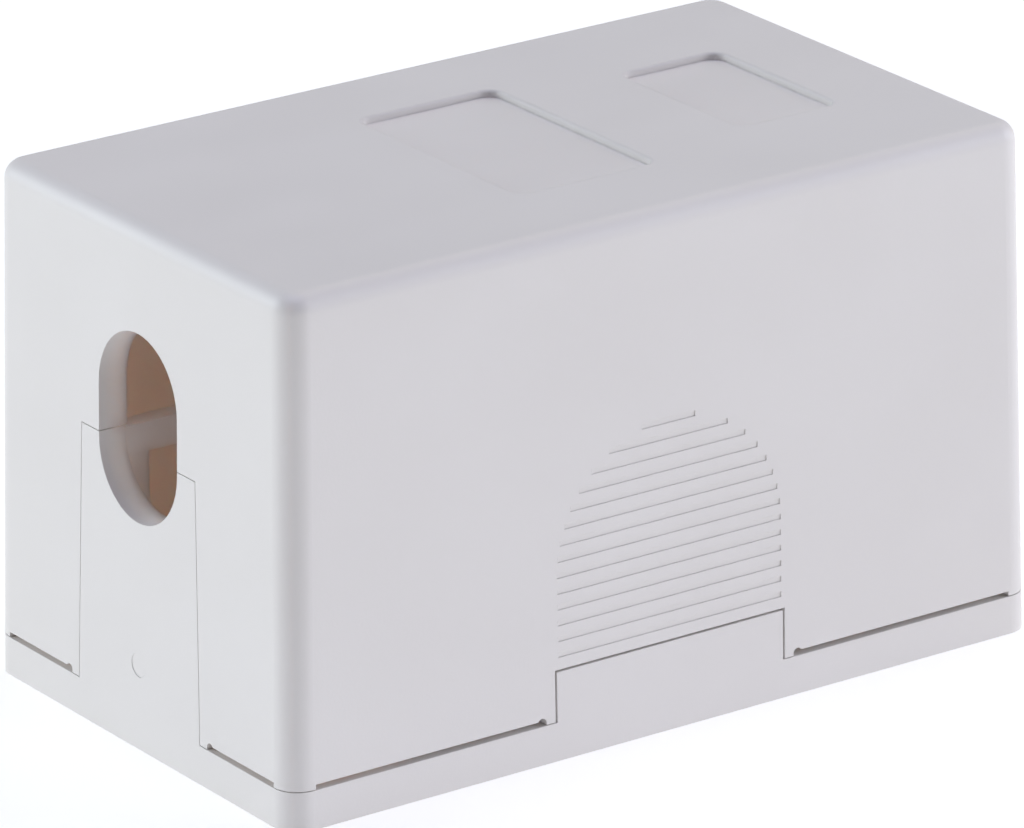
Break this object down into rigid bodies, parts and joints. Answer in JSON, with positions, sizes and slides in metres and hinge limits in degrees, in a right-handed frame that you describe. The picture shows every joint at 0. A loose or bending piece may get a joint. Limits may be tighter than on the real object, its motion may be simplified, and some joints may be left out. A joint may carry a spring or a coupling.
{
  "type": "surface mount jack box",
  "caption": "Small rectangular surface mount box with a clip-on cover, a rear cable entry and a modular data jack held in an upright frame.",
  "frame": {"origin": "centre of the underside, on the mounting surface", "axes": "+X towards the end with the data port, -X towards the cable entry, +Z away from the mounting surface"},
  "size_m": [0.0468, 0.0276, 0.028],
  "materials": {
    "white_plastic": "fine satin moulding",
    "jack_plastic": "satin",
    "carrier_plastic": "satin",
    "cap_plastic": "satin",
    "contact_metal": "gold flashed",
    "blade_metal": "tin plated",
    "board_green": "solder resist",
    "foam": "closed cell foam",
    "liner_film": "waxed film"
  },
  "bodies": {
    "base_unit": {"base": "white_plastic", "adhesive_pad": "foam", "release_liner": "liner_film", "jack_housing": "jack_plastic", "contact_carrier": "carrier_plastic", "circuit_board": "board_green", "idc_block": "jack_plastic", "idc_blade_1": "blade_metal", "idc_blade_2": "blade_metal", "idc_blade_3": "blade_metal", "idc_blade_4": "blade_metal", "idc_blade_5": "blade_metal", "idc_blade_6": "blade_metal", "idc_blade_7": "blade_metal", "idc_blade_8": "blade_metal"},
    "cover_shell": {"cover": "white_plastic"},
    "contact_row": {"contact_spring_1": "contact_metal", "contact_spring_2": "contact_metal", "contact_spring_3": "contact_metal", "contact_spring_4": "contact_metal", "contact_spring_5": "contact_metal", "contact_spring_6": "contact_metal", "contact_spring_7": "contact_metal", "contact_spring_8": "contact_metal"},
    "terminal_cap": {"wire_cap": "cap_plastic"}
  },
  "joints": [
    {"name": "cover_lift", "type": "slide", "parent": "base_unit", "child": "cover_shell", "axis": [0, 0, 1], "range_m": [0, 0.028]},
    {"name": "contact_flex", "type": "hinge", "parent": "base_unit", "child": "contact_row", "pos_m": [0.0124, 0, 0.0166], "axis": [0, -1, 0], "range_deg": [0, 8], "stiffness_Nm_per_rad": 0.05},
    {"name": "wire_cap_pull", "type": "slide", "parent": "base_unit", "child": "terminal_cap", "axis": [-1, 0, 0], "range_m": [0, 0.0054]}
  ]
}
